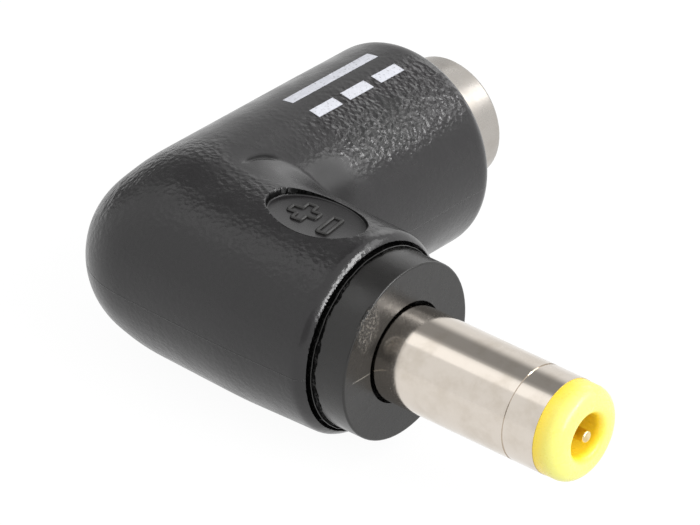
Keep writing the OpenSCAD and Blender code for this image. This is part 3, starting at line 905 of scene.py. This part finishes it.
plain = blend_colour(tree, noise(tree, place, 3.0), SMOOTH_DARK, SMOOTH_LIGHT)
set_inputs(tree, shader, Base_Color=blend_colour(tree, worn, plain, WORN_GREY),
           Roughness=cloudy(tree, place, 1.1, 0.22, 0.31))
put_on(collar_plastic, "collar", "socket_base", "negative_jacket", "plus_sign", "minus_sign", "groove_flash")

# %% [markdown]
# The barrel and the socket's shell are turned brass with a bright nickel plate, a little warmer than
# steel. Turning leaves rings too fine to see one by one, which draw the reflections out along the bar. A
# few fine scratches and a cloudy wear spoil the mirror.

# %% Nickel plate
RINGS, ALONG_RING = 16, 0.6
SCRATCHES, SCRATCH_TURN, SCRATCH_HEIGHT = (9, 0.7, 9), (0.3, 0.2, 0.5), 0.8
TARNISH = (0.9, 0.9 * 0.985, 0.9 * 0.96)


def plated(name, axis, colour, low, high, ring_depth):
    """Nickel of a roughness from low to high, with the marks of a lathe round the X or the Y axis."""
    metal, tree, shader = new_material(name)
    place = millimetres(tree)
    rings_scale = [RINGS if letter == axis else ALONG_RING for letter in "XYZ"]
    rings = noise(tree, millimetres(tree, scale=rings_scale), 1.0, 3.0, 0.6)
    scratches = noise(tree, millimetres(tree, scale=SCRATCHES, turned=SCRATCH_TURN), 1.0, 2.0, 0.7)
    marks = times_plus(tree, spread(tree, scratches, 0.66, 0.74), SCRATCH_HEIGHT, rings)
    add_bump(tree, shader, marks, ring_depth)
    cloud = noise(tree, place, 0.6, 4.0, 0.6)
    tarnished = [part * darker_by for part, darker_by in zip(colour, TARNISH)]
    set_inputs(tree, shader, Base_Color=blend_colour(tree, spread(tree, cloud, 0.42, 0.7), colour, tarnished),
               Roughness=spread(tree, cloud, 0.3, 0.7, low, high), Metallic=1.0)
    return metal


put_on(plated("bright nickel", "X", (0.685, 0.625, 0.557), 0.09, 0.15, ring_depth=0.0012), "barrel_sleeve")
put_on(plated("satin nickel", "Y", (0.45, 0.425, 0.395), 0.24, 0.34, ring_depth=0.003), "socket_shell",
       "socket_pin")

# %% [markdown]
# The tip is a moulded yellow ring, a little see-through. Its thin front edge is pale, and painted shade
# makes the depth of the hole and the back by the metal a deeper, warmer yellow.

# %% Yellow plastic
SHADE_YELLOW, PALE_YELLOW = (0.86, 0.6, 0.02), (0.745, 0.725, 0.178)
HOLE_INSIDE, HOLE_EDGE = 1.22, 1.65
yellow, tree, shader = new_material("yellow plastic")
place = millimetres(tree)
forward, sideways, above = split(tree, place)
to_front = spread(tree, forward, TIP_BACK - 0.3, TIP_FRONT - 0.2)
out_of_hole = spread(tree, length_node(tree, sideways, above), HOLE_INSIDE, HOLE_EDGE)
# Painted shade: the depth of the hole and the back by the metal take SHADE_YELLOW.
unshaded = times_plus(tree, noise(tree, place, 1.2, 3.0), 0.12, times(tree, to_front, out_of_hole))
set_inputs(tree, shader, Base_Color=blend_colour(tree, unshaded, SHADE_YELLOW, PALE_YELLOW),
           Roughness=cloudy(tree, place, 2.0, 0.24, 0.34), Subsurface_Weight=0.15,
           Subsurface_Radius=(1, 0.8, 0.2), Subsurface_Scale=0.6 * MM)
add_bump(tree, shader, noise(tree, place, 1.5, 3.0), 0.02)
put_on(yellow, "tip_insulator")

# %% [markdown]
# The parts inside show only down the tip's hole and in the socket, but each still has its own finish:
# plated contacts, tinned lugs, solder, copper strands, coloured jackets, fibre washers and pale moulded
# plastic.

# %% Finishes of the inner parts


def inner_finish(name, dark, light, roughness, metal=0.0, scale=3.0, depth=0.008):
    """A finish with clouds between two colours, and some relief and dullness that vary with them."""
    made, tree, shader = new_material(name)
    cloud = noise(tree, millimetres(tree), scale, 3.0, 0.6)
    low, high = roughness
    set_inputs(tree, shader, Base_Color=blend_colour(tree, spread(tree, cloud, 0.35, 0.65), dark, light),
               Roughness=spread(tree, cloud, 0.3, 0.7, high, low), Metallic=metal)
    add_bump(tree, shader, cloud, depth)
    return made


put_on(inner_finish("plated brass", (0.74, 0.56, 0.27), (0.86, 0.72, 0.42), (0.12, 0.2), metal=1.0),
       "plug_pin", "socket_spring")
put_on(inner_finish("tinned sheet", (0.55, 0.54, 0.52), (0.7, 0.69, 0.66), (0.25, 0.4), metal=1.0),
       "plug_lug", "socket_lug")
put_on(inner_finish("bright solder", (0.55, 0.55, 0.56), (0.72, 0.72, 0.74), (0.15, 0.3), 1.0, 2.0, 0.02),
       "plug_pin_solder", "plug_lug_solder", "socket_pin_solder", "socket_lug_solder")
put_on(inner_finish("copper strands", (0.6, 0.3, 0.16), (0.83, 0.46, 0.28), (0.25, 0.35), 1.0, 6.0),
       "positive_strands", "negative_strands")
put_on(inner_finish("red jacket", (0.42, 0.02, 0.02), (0.55, 0.035, 0.03), (0.35, 0.45)), "positive_jacket")
put_on(inner_finish("brown fibre", (0.2, 0.11, 0.06), (0.38, 0.22, 0.13), (0.7, 0.85), 0.0, 5.0, 0.02),
       "plug_washer", "socket_washer")
put_on(inner_finish("natural plastic", (0.66, 0.63, 0.55), (0.8, 0.78, 0.7), (0.4, 0.55)), "inner_mould",
       "plug_core")
